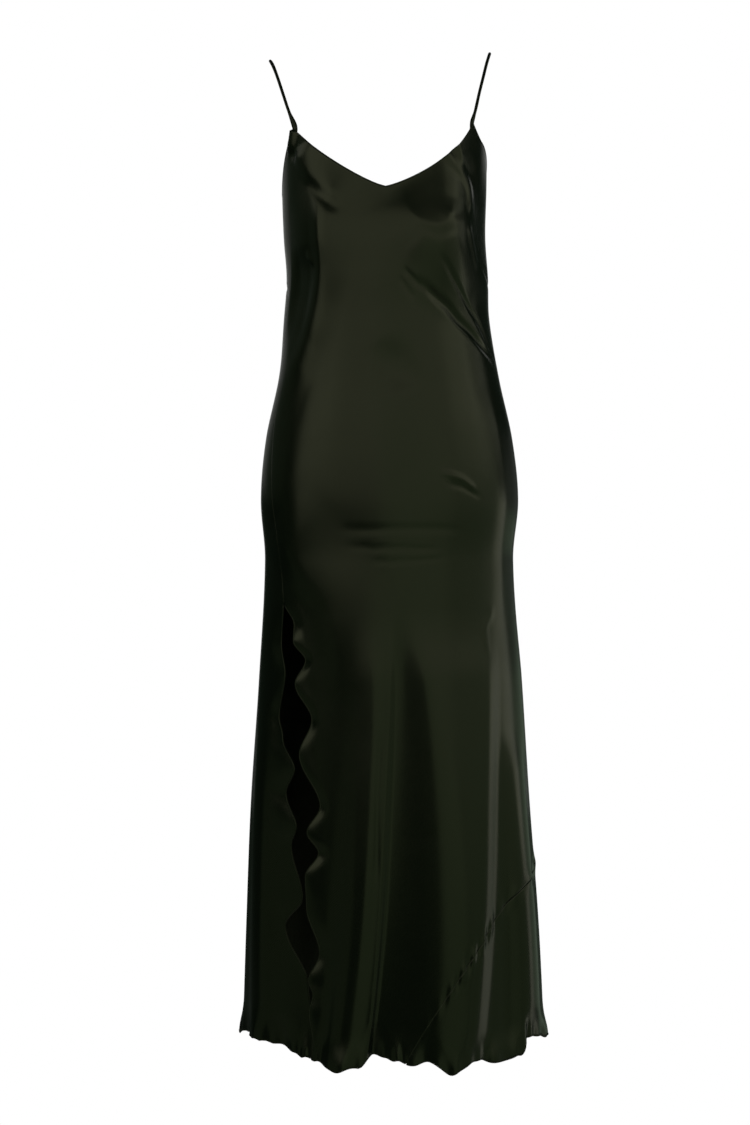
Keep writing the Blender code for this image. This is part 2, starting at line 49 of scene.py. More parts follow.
form = {
    # the level sections: sideways centre, half width, reach to front and back, squareness
    "sections": table("drop centre halfWidth front back square", [
        (0.100, -0.0050, 0.1390, 0.112, 0.080, 2.50),
        (0.184, -0.0052, 0.1386, 0.110, 0.086, 2.50),
        (0.250, -0.0048, 0.1367, 0.113, 0.088, 2.40),
        (0.305, -0.0010, 0.1367, 0.112, 0.083, 2.30),
        (0.359, -0.0020, 0.1394, 0.110, 0.080, 2.20),
        (0.441, 0.0014, 0.1496, 0.110, 0.092, 2.15),
        (0.522, 0.0014, 0.1673, 0.112, 0.112, 2.10),
        (0.604, 0.0020, 0.1748, 0.113, 0.123, 2.10),
        (0.685, 0.0014, 0.1686, 0.112, 0.121, 2.05),
        (0.849, 0.0027, 0.1782, 0.115, 0.117, 2.00),
        (1.012, 0.0021, 0.1884, 0.122, 0.119, 2.00),
        (1.175, 0.0050, 0.1975, 0.131, 0.124, 2.00),
        (1.350, 0.0066, 0.2045, 0.140, 0.131, 2.00),
    ]),
    "cups": table("angle drop spread above below depth", [
        (-37.0, 0.252, 27.0, 0.085, 0.120, 0.003),
        (32.0, 0.238, 33.0, 0.100, 0.140, 0.011),
    ]),
    # how a flute or deep fold opens down the skirt: the share over which it starts, and its bow
    "opening": {"soft": 0.17, "bow": 0.7},
    # a flute's crest starts at a drop and an angle and ends at the hem; it falls away over so many
    # degrees to each side, given at its top and at the hem, and the bend is the share of each side
    # that curves at either end
    "flutes": table("topDrop topAngle hemAngle topBefore hemBefore topAfter hemAfter bend depth", [
        (0.895, 61.5, 56.0, 13.0, 14.0, 18.0, 22.0, 0.40, 0.0135),
        (0.800, 114.0, 112.0, 16.0, 16.0, 16.0, 16.0, 0.45, 0.014),
        (0.860, 136.0, 135.0, 13.0, 13.0, 17.0, 17.0, 0.40, 0.022),
        (0.740, 160.0, 163.0, 14.0, 14.0, 16.0, 16.0, 0.45, 0.014),
        (0.800, 192.0, 196.0, 17.0, 17.0, 14.0, 14.0, 0.40, 0.024),
        (0.900, 218.0, 225.0, 16.0, 16.0, 15.0, 15.0, 0.45, 0.018),
        (0.780, 242.0, 250.0, 14.0, 14.0, 13.0, 13.0, 0.45, 0.012),
        (0.850, 292.0, 301.0, 16.0, 16.0, 14.0, 14.0, 0.50, 0.007),
    ]),
    # the front folds from below the belly: the way the near foot, the first ridge, its lip, the deep
    # valley, the shoulder past it, the second ridge, its foot and the far foot run down the skirt,
    # how far each stands out near the top and at the hem, and how rounded the cloth is past it
    "deepFoldTop": 0.744,
    "deepFold": table("topAngle middleAngle hemAngle topOut hemOut bend", [
        (-20.0, -24.0, -30.0, 0.000, 0.000, 0.50), (-9.2, -9.2, -19.0, 0.008, 0.013, 0.50),
        (-0.4, -2.8, -9.6, 0.004, 0.007, 0.30), (2.6, 0.4, -8.0, -0.0035, -0.001, 0.40),
        (11.0, 28.0, 25.0, 0.0175, 0.020, 0.30), (46.0, 37.6, 26.0, 0.015, 0.0195, 0.35),
        (58.5, 48.0, 36.6, 0.006, 0.009, 0.30), (112.0, 108.0, 106.0, 0.000, 0.000, 0.50),
    ]),
    "hemDrop": 1.325,
    "hemBand": 0.045,  # how far above the hem its curl starts
    # the curled hem turns out and in: each turn's angle, how far it stands out and how far it falls
    "frontHem": table("angle out fall", [
        (-86.0, 0.003, -0.004), (-72.0, -0.003, -0.009), (-61.0, 0.004, -0.008),
        (-48.0, -0.004, -0.005), (-35.0, 0.003, 0.007), (-29.0, 0.001, 0.009),
        (-20.5, 0.006, 0.018), (-12.5, 0.004, 0.013), (-7.5, -0.004, -0.002),
        (0.0, 0.002, 0.004), (7.0, 0.001, 0.010), (12.0, -0.002, 0.004),
        (19.5, 0.001, 0.021), (30.0, -0.002, 0.007), (40.0, 0.005, 0.013),
        (49.0, 0.004, 0.008), (55.0, -0.005, -0.013), (76.0, 0.007, -0.003),
        (90.0, -0.003, -0.004),
    ]),
    # the back's turns are evenly counted, then moved along, deepened and dropped by uneven shares
    "backHem": {
        "start": 99.0, "end": 265.0, "count": 17, "out": 0.0065, "fall": 0.0060,
        "beat": 2.3, "beatLag": 0.7, "moved": 0.28, "deepened": 0.30, "dropped": 0.35,
    },
    # small puffs along the hem, in degrees, and how far up the cloth they reach
    "hemPuffs": {
        "apart": 6.2, "sway": 1.6, "swayPitch": 0.23, "swellPitch": 0.37, "swellLag": 1.0,
        "out": 0.0015, "fall": 0.0011, "fallLag": 1.5, "reach": 0.030,
    },
    # the right seam swings forward as it falls and becomes the middle of the slit
    "rightSeam": table("drop angle", [
        (0.190, -84.0), (0.460, -71.0), (0.739, -55.3), (0.930, -44.0),
        (1.080, -37.5), (1.220, -34.0), (1.350, -32.0),
    ]),
    "slitTop": 0.739,
    "slitReach": 8,  # the higher, the nearer to the slit its waves stay
    # the slit's two wavy edges, and how far each lifts or sinks
    "frontSlit": table("drop angle lift", [
        (0.739, -55.2, 0.000), (0.771, -47.2, -0.001), (0.793, -46.2, 0.003),
        (0.818, -39.8, -0.003), (0.848, -44.1, 0.003), (0.896, -35.2, -0.003),
        (0.940, -39.8, 0.003), (1.008, -29.4, -0.003), (1.042, -34.6, 0.003),
        (1.068, -29.8, -0.003), (1.098, -35.0, 0.003), (1.138, -34.6, 0.001),
        (1.198, -28.9, -0.003), (1.233, -32.9, 0.003), (1.251, -31.2, 0.000),
        (1.274, -32.4, 0.003), (1.312, -30.8, 0.001), (1.350, -31.5, 0.003),
    ]),
    "backSlit": table("drop angle lift", [
        (0.739, -55.4, 0.000), (0.792, -57.3, -0.003), (0.838, -51.5, 0.001),
        (0.892, -56.0, -0.003), (0.920, -52.0, -0.002), (0.961, -42.6, 0.001),
        (0.992, -48.0, -0.003), (1.036, -40.4, 0.001), (1.060, -43.6, -0.002),
        (1.128, -37.4, -0.004), (1.165, -46.4, -0.003), (1.240, -34.2, -0.005),
        (1.290, -32.0, -0.006), (1.350, -32.2, -0.004),
    ]),
    # the diagonal seam above the corner piece
    "cornerSeam": table("angle drop", [
        (-95.0, 1.898), (4.4, 1.331), (16.3, 1.263), (30.0, 1.198),
        (48.5, 1.135), (66.0, 1.106), (98.0, 1.088),
    ]),
    # small puckers along that seam, in metres, and the angles between which they fade in and out
    "seamPuckers": {
        "apart": 0.0155, "sway": 1.3, "swayPitch": 47.0, "swellPitch": 61.0, "swellLag": 0.6,
        "out": 0.0019, "reach": 0.0095, "lean": 0.86, "stretch": 1.2,
        "start": 8.0, "fadeIn": 12.0, "end": 96.0, "fadeOut": 5.0,
    },
    # each row starts a stretch of the top edge, which sags below the straight line to the next
    "topEdge": table("angle drop sag", [
        (-84.0, 0.190, -0.006), (-56.5, 0.1150, 0.000), (0.0, 0.199, 0.008),
        (54.2, 0.1090, 0.002), (66.0, 0.1290, -0.007), (96.0, 0.174, 0.012),
        (138.7, 0.183, 0.031), (224.5, 0.183, 0.008), (276.0, 0.190, 0.000),
    ]),
}


def eased(share):  # a smooth step from 0 to 1
    share = np.clip(share, 0.0, 1.0)
    return share * share * (3.0 - 2.0 * share)


def mixed(first, second, share):
    return first + (second - first) * share


def ramp(share, bend):  # a straight rise from 0 to 1 whose two ends curve
    low = np.clip(np.minimum(share, 1.0 - share), 0.0, 0.5)
    rise = np.where(low < bend, low * low / (2.0 * bend), low - bend / 2.0) / (1.0 - bend)
    return np.where(share < 0.5, rise, 1.0 - rise)


def stretchOf(keys, value):
    return np.clip(np.searchsorted(keys, value, side="right") - 1, 0, len(keys) - 2)


def readSmooth(rows, key, wanted, value):  # a table's column as a smooth curve
    keys, values = rows[key], rows[wanted]
    value = np.clip(value, keys[0], keys[-1])
    i = stretchOf(keys, value)
    count = np.arange(len(keys))
    before, after = np.maximum(count - 1, 0), np.minimum(count + 1, len(keys) - 1)
    slopes = (values[after] - values[before]) / (keys[after] - keys[before])
    span = keys[i + 1] - keys[i]
    t = (value - keys[i]) / span
    return (
        values[i] * (2 * t**3 - 3 * t**2 + 1)
        + values[i + 1] * (3 * t**2 - 2 * t**3)
        + slopes[i] * span * (t**3 - 2 * t**2 + t)
        + slopes[i + 1] * span * (t**3 - t**2)
    )


def readTurns(rows, key, wanted, value):  # a table in which every row is a crest or a hollow
    keys, values = rows[key], rows[wanted]
    i = stretchOf(keys, value)
    return mixed(values[i], values[i + 1], eased((value - keys[i]) / (keys[i + 1] - keys[i])))


def unevenWave(run, wave):  # a wave whose spacing sways and whose height swells
    sway = wave["sway"] * np.sin(run * wave["swayPitch"])
    swell = 0.65 + 0.35 * np.sin(run * wave["swellPitch"] + wave["swellLag"])
    return swell * np.sin(run * 2.0 * math.pi / wave["apart"] + sway)


def unit(vectors):
    return vectors / np.maximum(np.linalg.norm(vectors, axis=-1, keepdims=True), 1e-12)


def plainPoint(angle, drop):  # the garment with no fold, flute or curl
    rows = form["sections"]
    power = 2.0 / readSmooth(rows, "drop", "square", drop)
    sine, cosine = np.sin(np.radians(angle)), np.cos(np.radians(angle))
    ahead, behind = readSmooth(rows, "drop", "front", drop), readSmooth(rows, "drop", "back", drop)
    reach = np.where(cosine > 0, ahead, behind)
    side = readSmooth(rows, "drop", "centre", drop)
    side = side + readSmooth(rows, "drop", "halfWidth", drop) * np.sign(sine) * np.abs(sine) ** power
    back = -reach * np.sign(cosine) * np.abs(cosine) ** power
    return np.stack([side, back, -drop + 0.0 * side], -1)


def plainNormal(angle, drop):
    across = plainPoint(angle + 0.5, drop) - plainPoint(angle - 0.5, drop)
    down = plainPoint(angle, drop + 0.004) - plainPoint(angle, drop - 0.004)
    return unit(np.cross(down, across))


def metresPerDegree(angle, drop):
    return np.linalg.norm(plainPoint(angle + 1.0, drop) - plainPoint(angle - 1.0, drop), axis=-1) / 2.0


def degreesPast(angle, mark):
    return (angle - mark + 180.0) % 360.0 - 180.0


def cupDepth(angle, drop):
    depth = 0.0 * angle
    for mark, middle, spread, above, below, out in zip(*form["cups"].values()):
        reach = np.where(drop < middle, above, below)
        depth += out * eased(1.0 - np.hypot(degreesPast(angle, mark) / spread, (drop - middle) / reach))
    return depth


def growth(share):  # a fold opens softly, then fast, and levels off towards the hem
    share = np.clip(share, 0.0, 1.0)
    return eased(share / form["opening"]["soft"]) * np.sin(share * math.pi / 2.0) ** form["opening"]["bow"]


def fluteDepth(angle, drop):
    rows = form["flutes"]
    depth = 0.0 * angle
    for i in range(len(rows["depth"])):
        row = {name: column[i] for name, column in rows.items()}
        share = (drop - row["topDrop"]) / (form["hemDrop"] - row["topDrop"])
        off = degreesPast(angle, mixed(row["topAngle"], row["hemAngle"], share))
        share = np.clip(share, 0.0, 1.0)
        before = mixed(row["topBefore"], row["hemBefore"], share)
        after = mixed(row["topAfter"], row["hemAfter"], share)
        rise = row["depth"] * growth(share)
        depth += rise * ramp(1.0 - np.abs(off) / np.where(off > 0.0, after, before), row["bend"])
    return depth


def deepFoldDepth(angle, drop):
    rows = form["deepFold"]
    share = np.clip((drop - form["deepFoldTop"]) / (form["hemDrop"] - form["deepFoldTop"]), 0.0, 1.1)
    marks = [
        top * (1.0 - share) * (1.0 - 2.0 * share) + middle * 4.0 * share * (1.0 - share)
        + hem * share * (2.0 * share - 1.0)
        for top, middle, hem in zip(rows["topAngle"], rows["middleAngle"], rows["hemAngle"])
    ]
    outs = [mixed(top, hem, share) for top, hem in zip(rows["topOut"], rows["hemOut"])]
    off = degreesPast(angle, 0.0)
    depth = 0.0 * angle
    for i in range(len(marks) - 1):
        along = (off - marks[i]) / (marks[i + 1] - marks[i])
        between = mixed(outs[i], outs[i + 1], ramp(np.clip(along, 0.0, 1.0), rows["bend"][i]))
        depth = np.where((along >= 0.0) & (along < 1.0), between, depth)
    return depth * growth(share)


def allHemTurns():
    front, back = form["frontHem"], form["backHem"]
    i = np.arange(back["count"])
    uneven, side = np.sin(back["beat"] * i + back["beatLag"]), np.where(i % 2 == 0, 1.0, -1.0)
    angles = mixed(back["start"], back["end"], (i + back["moved"] * uneven) / (back["count"] - 1))
    outs = back["out"] * side * (1.0 + back["deepened"] * uneven)
    falls = back["fall"] * side * (1.0 - back["dropped"] * uneven)
    angles = np.concatenate([[angles[-1] - 360.0], front["angle"], angles, [front["angle"][0] + 360.0]])
    outs = np.concatenate([[outs[-1]], front["out"], outs, [front["out"][0]]])
    falls = np.concatenate([[falls[-1]], front["fall"], falls, [front["fall"][0]]])
    return {"angle": angles, "out": outs, "fall": falls}


hemTurns = allHemTurns()


def hemTurn(angle, wanted):
    start = form["frontHem"]["angle"][0]
    return readTurns(hemTurns, "angle", wanted, (angle - start) % 360.0 + start)


def hemDrop(angle):
    puffs = form["hemPuffs"]
    puff = puffs["fall"] * unevenWave(angle + puffs["fallLag"], puffs)
    return form["hemDrop"] + hemTurn(angle, "fall") + puff


def hemCurl(angle, drop):
    rise, puffs = hemDrop(angle) - drop, form["hemPuffs"]
    curl = eased(1.0 - rise / form["hemBand"]) * hemTurn(angle, "out")
    return curl + eased(1.0 - rise / puffs["reach"]) * puffs["out"] * unevenWave(angle, puffs)


def topDrop(angle):
    rows = form["topEdge"]
    i = stretchOf(rows["angle"], angle)
    share = (angle - rows["angle"][i]) / (rows["angle"][i + 1] - rows["angle"][i])
    straight = mixed(rows["drop"][i], rows["drop"][i + 1], share)
    return straight + rows["sag"][i] * 4.0 * share * (1.0 - share)


def rightSeam(drop):
    return readSmooth(form["rightSeam"], "drop", "angle", drop)


def swing(drop):
    angles = form["rightSeam"]["angle"]
    return (rightSeam(drop) - angles[0]) / (angles[-1] - angles[0])


def cornerSeam(angle):
    return readSmooth(form["cornerSeam"], "angle", "drop", angle)


# folds given one by one: how far each stands out, or in where that is below 0, its reach to the left
# and right of its path, seen from outside with the path running down, the path over the cloth as
# angles and drops, over what share of the path it starts and ends, and how sharp its crest is
folds = []


def fold(out, left, right, path, start=0.25, end=0.25, peak=0.0):
    row = {"out": out, "left": left, "right": right, "path": path}
    folds.append({**row, "start": start, "end": end, "peak": peak})


# the hips and thighs
fold(0.0010, 0.030, 0.022, [(57.0, 0.450), (58.2, 0.513), (58.8, 0.606), (60.8, 0.699), (57.0, 0.780)])
fold(0.0036, 0.040, 0.085, [(-66.0, 0.640), (-55.0, 0.662), (-44.0, 0.687), (-35.0, 0.712),
                            (-27.0, 0.740), (-22.0, 0.790), (-16.0, 0.860), (-13.0, 0.930)],
     start=0.2, end=0.35)
fold(0.0006, 0.009, 0.009, [(52.0, 0.742), (50.6, 0.758), (46.5, 0.772), (45.9, 0.791), (47.0, 0.810)])
# bodice: where the front turns to the wearer's right side
fold(0.0040, 0.021, 0.042, [(-32.6, 0.195), (-33.0, 0.249), (-35.1, 0.293), (-38.6, 0.331),
                            (-44.4, 0.382), (-52.1, 0.421), (-59.6, 0.453)], start=0.15, end=0.4)
fold(0.0036, 0.060, 0.042, [(-46.0, 0.392), (-53.0, 0.412), (-58.5, 0.430), (-63.0, 0.455),
                            (-66.0, 0.490), (-68.0, 0.530)], start=0.4, end=0.4)
fold(-0.0050, 0.022, 0.058, [(-56.0, 0.265), (-58.0, 0.310), (-60.0, 0.350), (-63.0, 0.400)],
     start=0.4, end=0.5)
fold(0.0016, 0.007, 0.007, [(-47.0, 0.282), (-44.3, 0.290), (-42.0, 0.298)])
# the edge of the right cup from the strap towards the middle, the hollows round it and the fold
# from the strap down to the side
fold(0.0030, 0.018, 0.040, [(-53.0, 0.142), (-48.0, 0.158), (-41.5, 0.173), (-34.0, 0.186),
                            (-27.0, 0.199), (-20.5, 0.211), (-15.0, 0.220)], start=0.15, end=0.3)
fold(-0.0010, 0.014, 0.014, [(-44.0, 0.180), (-36.0, 0.196), (-30.0, 0.208), (-24.0, 0.220),
                             (-19.0, 0.228)])
fold(-0.0025, 0.008, 0.008, [(-63.0, 0.146), (-58.0, 0.148), (-54.0, 0.154)])
fold(0.0045, 0.006, 0.016, [(-57.5, 0.116), (-60.0, 0.130), (-64.0, 0.150)], start=0.05, end=0.4)
# the left cup: a dish that ends on a sharp lower edge, and the folds round it
fold(0.0042, 0.100, 0.054, [(5.0, 0.198), (7.8, 0.214), (10.6, 0.232), (15.6, 0.245), (23.2, 0.250),
                            (29.2, 0.245), (32.8, 0.230), (34.0, 0.210)], start=0.45, peak=0.9)
fold(0.0010, 0.055, 0.010, [(13.0, 0.258), (18.0, 0.266), (25.0, 0.271), (33.0, 0.266), (40.0, 0.254)])
fold(0.0024, 0.010, 0.011, [(30.0, 0.152), (33.1, 0.159), (39.4, 0.173), (46.3, 0.189),
                            (49.0, 0.205), (49.5, 0.221), (50.9, 0.236)], start=0.1)
fold(0.0012, 0.008, 0.008, [(47.0, 0.243), (50.0, 0.262), (54.5, 0.283), (58.0, 0.302)])
# the side of the bodice below the left strap
fold(0.0055, 0.012, 0.036, [(37.4, 0.100), (38.0, 0.134), (40.5, 0.157), (43.0, 0.179)],
     start=0.05, end=0.4, peak=0.8)
# drag folds from the wearer's left side seam towards the bust
fold(-0.0034, 0.009, 0.009, [(9.0, 0.314), (18.8, 0.330), (25.5, 0.343), (32.9, 0.355),
                             (39.6, 0.370), (48.8, 0.384), (57.7, 0.399), (65.5, 0.411), (75.0, 0.425)])
fold(-0.0018, 0.005, 0.006, [(24.0, 0.283), (30.9, 0.304), (35.9, 0.319), (49.7, 0.353), (58.9, 0.373),
                             (70.3, 0.404), (80.0, 0.420)])
fold(-0.0009, 0.004, 0.004, [(6.0, 0.305), (11.0, 0.318), (17.0, 0.333)])
fold(-0.0008, 0.004, 0.004, [(4.0, 0.316), (8.0, 0.330), (13.0, 0.346)])
# a crease down the first ridge, beside the deep valley
fold(-0.0007, 0.005, 0.005, [(-4.0, 0.900), (-4.7, 0.950), (-5.2, 1.000), (-5.4, 1.060), (-6.0, 1.110)])
# the slack below the bust
fold(-0.0028, 0.036, 0.036, [(-3.0, 0.395), (2.0, 0.430), (6.0, 0.470)], start=0.5, end=0.4)
# creases across the belly
fold(-0.0005, 0.009, 0.009, [(-24.0, 0.645), (-10.0, 0.646), (5.0, 0.645), (20.0, 0.645), (36.0, 0.647)])
fold(-0.0005, 0.0045, 0.0045, [(-22.0, 0.668), (-8.0, 0.670), (4.0, 0.670), (14.0, 0.671), (24.0, 0.671)])
fold(-0.0005, 0.004, 0.004, [(-10.0, 0.688), (4.0, 0.688), (13.0, 0.686), (27.0, 0.683)])
fold(0.0018, 0.005, 0.0045, [(20.0, 0.570), (28.2, 0.576), (32.8, 0.581), (36.5, 0.588), (40.0, 0.596)])
fold(-0.0012, 0.004, 0.004, [(23.0, 0.583), (28.0, 0.588), (31.6, 0.590), (38.7, 0.599), (43.0, 0.605)])
# the back: slack below its neck edge, drag folds from the side seams to the waist, creases under
# the seat, soft folds down the sides and drag folds below the armholes
fold(0.0022, 0.012, 0.014, [(150.0, 0.212), (165.0, 0.233), (181.0, 0.239), (198.0, 0.233),
                            (212.0, 0.213)])
fold(-0.0022, 0.008, 0.008, [(108.0, 0.352), (122.0, 0.366), (138.0, 0.384), (152.0, 0.396),
                             (166.0, 0.402)])
fold(-0.0014, 0.006, 0.006, [(112.0, 0.392), (126.0, 0.402), (142.0, 0.414), (156.0, 0.420)])
fold(-0.0020, 0.008, 0.008, [(190.0, 0.412), (206.0, 0.404), (222.0, 0.384), (238.0, 0.362),
                             (250.0, 0.348)])
fold(-0.0012, 0.006, 0.006, [(204.0, 0.430), (220.0, 0.420), (236.0, 0.404), (248.0, 0.392)])
fold(-0.0010, 0.010, 0.010, [(136.0, 0.664), (150.0, 0.672), (164.0, 0.672), (174.0, 0.666)])
fold(-0.0010, 0.010, 0.010, [(187.0, 0.664), (200.0, 0.672), (214.0, 0.674), (226.0, 0.666)])
fold(-0.0006, 0.005, 0.005, [(150.0, 0.700), (166.0, 0.704), (184.0, 0.703), (204.0, 0.698)])
fold(0.0016, 0.024, 0.024, [(106.0, 0.480), (108.0, 0.560), (109.0, 0.640), (112.0, 0.730)])
fold(0.0014, 0.022, 0.022, [(256.0, 0.490), (254.0, 0.570), (251.0, 0.650), (246.0, 0.730)])
fold(-0.0016, 0.007, 0.007, [(66.0, 0.292), (78.0, 0.306), (90.0, 0.318), (102.0, 0.326)])
fold(-0.0014, 0.007, 0.007, [(258.0, 0.300), (268.0, 0.312), (278.0, 0.322), (288.0, 0.330)])


def smoothPath(path, steps=8):
    points = np.array([path[0], *path, path[-1]], float)
    made = []
    for a, b, c, d in zip(points, points[1:], points[2:], points[3:]):
        for t in np.arange(steps) / steps:
            made.append(0.5 * (2 * b + (c - a) * t + (2 * a - 5 * b + 4 * c - d) * t**2
                               + (3 * b - a - 3 * c + d) * t**3))
    return np.array(made + [points[-1]])


def foldDepth(place, normal):
    depth = np.zeros(place.shape[:-1])
    for row in folds:
        line = smoothPath(row["path"])
        line = plainPoint(line[:, 0], line[:, 1])
        reach = max(row["left"], row["right"])
        near = np.all((place > line.min(0) - reach) & (place < line.max(0) + reach), axis=-1)
        spots, ups = place[near], normal[near]
        best, side, along = np.full(len(spots), 1e9), np.zeros(len(spots)), np.zeros(len(spots))
        for i, (a, b) in enumerate(zip(line, line[1:])):
            step = b - a
            t = np.clip((spots - a) @ step / (step @ step), 0.0, 1.0)
            off = spots - a - t[:, None] * step
            gap = np.linalg.norm(off, axis=1)
            closer = gap < best
            best = np.where(closer, gap, best)
            turn = np.einsum("ij,ij->i", np.cross(step, off), ups)
            side = np.where(closer, turn, side)
            along = np.where(closer, (i + t) / (len(line) - 1), along)
        off = 1.0 - best / np.where(side > 0.0, row["right"], row["left"])
        shape = mixed(eased(off), np.clip(off, 0.0, 1.0) ** 2, row["peak"])
        depth[near] += row["out"] * shape * eased(along / row["start"]) * eased((1.0 - along) / row["end"])
    return depth


def seamPucker(angle, drop):
    puckers = form["seamPuckers"]
    off = (drop - cornerSeam(angle)) * puckers["lean"]
    run = metresPerDegree(angle, drop) * angle * puckers["stretch"]
    shown = eased((angle - puckers["start"]) / puckers["fadeIn"])
    shown = shown * eased((puckers["end"] - angle) / puckers["fadeOut"])
    return puckers["out"] * unevenWave(run, puckers) * np.exp(-((off / puckers["reach"]) ** 2)) * shown


def clothPoint(angle, drop, lift=0.0):
    angle, drop = np.broadcast_arrays(np.asarray(angle, float), np.asarray(drop, float))
    place, normal = plainPoint(angle, drop), plainNormal(angle, drop)
    out = cupDepth(angle, drop) + fluteDepth(angle, drop) + deepFoldDepth(angle, drop)
    out = out + hemCurl(angle, drop) + foldDepth(place, normal) + seamPucker(angle, drop) + lift
    return place + normal * out[..., None]


# the panels are grids of columns that run from the top edge to the hem, each under its own stop
panels = {
    "thickness": 0.0009,
    "frontStops": table("top hem", [
        (-84.0, -32.0), (-81.0, -29.6), (-77.5, -26.6), (-73.0, -22.6), (-56.5, -11.5),
        (-7.9, 13.0), (0.0, 17.0), (54.2, 57.0), (96.0, 96.0),
    ]),
    "frontStep": 1.0,  # degrees between columns at the hem, and finer ones between two angles
    "frontFine": [(-32.0, -22.0, 0.5), (-11.5, 13.0, 0.5), (17.0, 57.0, 0.7)],
    "backStops": table("top hem", [
        (96.0, 96.0), (138.7, 140.0), (224.5, 228.0), (262.0, 290.0), (269.0, 315.0),
        (272.0, 321.0), (274.5, 325.0), (276.0, 328.0),
    ]),
    "backStep": 1.45,
    "backFine": [(315.0, 328.0, 0.5)],
    "liftFrom": 0.925,  # how near the slit's edge its curl starts, from 0 at the side seam to 1
    "length": 1.135,  # of a usual column, by which the rows are shared out
    "frontRow": 0.0045,
    "backRow": 0.0052,
    # closer rows down from the top edge, and then down to the hem
    "edgeRows": (0.0, 0.0015, 0.0030, 0.0045, 0.0060, 0.0075, 0.0095, 0.0120, 0.0150),
    "endRows": (0.0130, 0.0100, 0.0075, 0.0055, 0.0035, 0.0018, 0.0),
    "cornerRow": 0.0035,
    "cornerTip": 0.0006,  # the corner piece starts where it is this deep
    "settlings": 40,  # rounds in which each column's end settles on the hem
    "settling": 0.6,
    "uvRadius": 0.165,  # turns angles into metres on the cloth's own map
}


def hemAngles(stops, step, fine):  # every stop, with even columns between them
    made = [stops[0]]
    for first, last in zip(stops, stops[1:]):
        size = min([step] + [close for start, end, close in fine if start <= first and last <= end])
        count = max(1, round((last - first) / size))
        made += [mixed(first, last, (i + 1) / count) for i in range(count)]
    return np.array(made)


def rowShares(step):  # how far down its column each row lies
    length = panels["length"]
    middle = np.arange(panels["edgeRows"][-1] + step, length - panels["endRows"][0] - step / 2, step)
    depths = [*panels["edgeRows"], *middle, *[length - row for row in panels["endRows"]]]
    return np.array(depths) / length


def slitEdge(drop, turns):
    return np.where(drop > form["slitTop"], readTurns(turns, "drop", "angle", drop), rightSeam(drop))


def slitLift(drop, turns, nearness):
    edge = eased((nearness - panels["liftFrom"]) / (1.0 - panels["liftFrom"]))
    return np.where(drop < form["slitTop"], 0.0, readTurns(turns, "drop", "lift", drop) * edge)


# the angles and drops of a panel's points, with the columns near the slit pulled to the slit's
# edge, and how far each point lifts there
def panelGrid(stops, hems, slitFirst, turns, bottom, step):
    tops = np.interp(hems, stops["hem"], stops["top"])
    slitHem, sideHem = (hems[0], hems[-1]) if slitFirst else (hems[-1], hems[0])
    nearness = (sideHem - hems) / (sideHem - slitHem)

    def angleAt(drop, column):
        pull = slitEdge(drop, turns) - rightSeam(drop)
        return mixed(tops[column], hems[column], swing(drop)) + pull * nearness[column] ** form["slitReach"]

    columns = np.arange(len(hems))
    ends = np.full(len(hems), form["hemDrop"])
    for _ in range(panels["settlings"]):
        ends = mixed(ends, bottom(angleAt(ends, columns)), panels["settling"])
    drops = mixed(topDrop(tops)[:, None], ends[:, None], rowShares(step)[None, :])
    angles = angleAt(drops, columns[:, None])
    return angles, drops, slitLift(drops, turns, nearness[:, None])


def clothUv(angles, drops):  # the cloth laid flat: the way round and the way down, in metres
    return np.stack([np.radians(angles) * panels["uvRadius"], -drops], -1)


def gridMesh(name, points, uvs):
    columns, rows = points.shape[:2]
    index = np.arange(columns * rows).reshape(columns, rows)
    corners = [index[:-1, :-1], index[:-1, 1:], index[1:, 1:], index[1:, :-1]]
    faces = np.stack(corners, -1).reshape(-1, 4)
    mesh = bpy.data.meshes.new(name)
    mesh.from_pydata(points.reshape(-1, 3).tolist(), [], faces.tolist())
    layer = mesh.uv_layers.new(name="clothMap")
    layer.data.foreach_set("uv", uvs.reshape(-1, 2)[faces.ravel()].ravel())
    mesh.shade_smooth()
    piece = bpy.data.objects.new(name, mesh)
    bpy.context.scene.collection.objects.link(piece)
    return piece


def makePanel(name, node, angles, drops, lift, materials):  # also gives its flat size and area
    points = clothPoint(angles, drops, lift)
    piece = gridMesh(name, points, clothUv(angles, drops))
    for material in materials:
        piece.data.materials.append(material)
    wall = piece.modifiers.new("wall", "SOLIDIFY")
    wall.thickness = panels["thickness"]
    wall.offset = -1.0
    wall.material_offset = 1
    wall.material_offset_rim = 0
    across = np.linalg.norm(np.diff(points, axis=0), axis=-1)
    down = np.linalg.norm(np.diff(points, axis=1), axis=-1)
    diagonals = points[1:, 1:] - points[:-1, :-1], points[1:, :-1] - points[:-1, 1:]
    area = float(np.linalg.norm(np.cross(*diagonals), axis=-1).sum()) / 2.0
    flat = float(across.sum(0).max()), float(down.sum(1).max())
    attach(piece, "root")
    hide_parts(node)
    print("made", name, len(piece.data.polygons), "faces", round(area, 3), "m2")
    return piece, points, flat, area


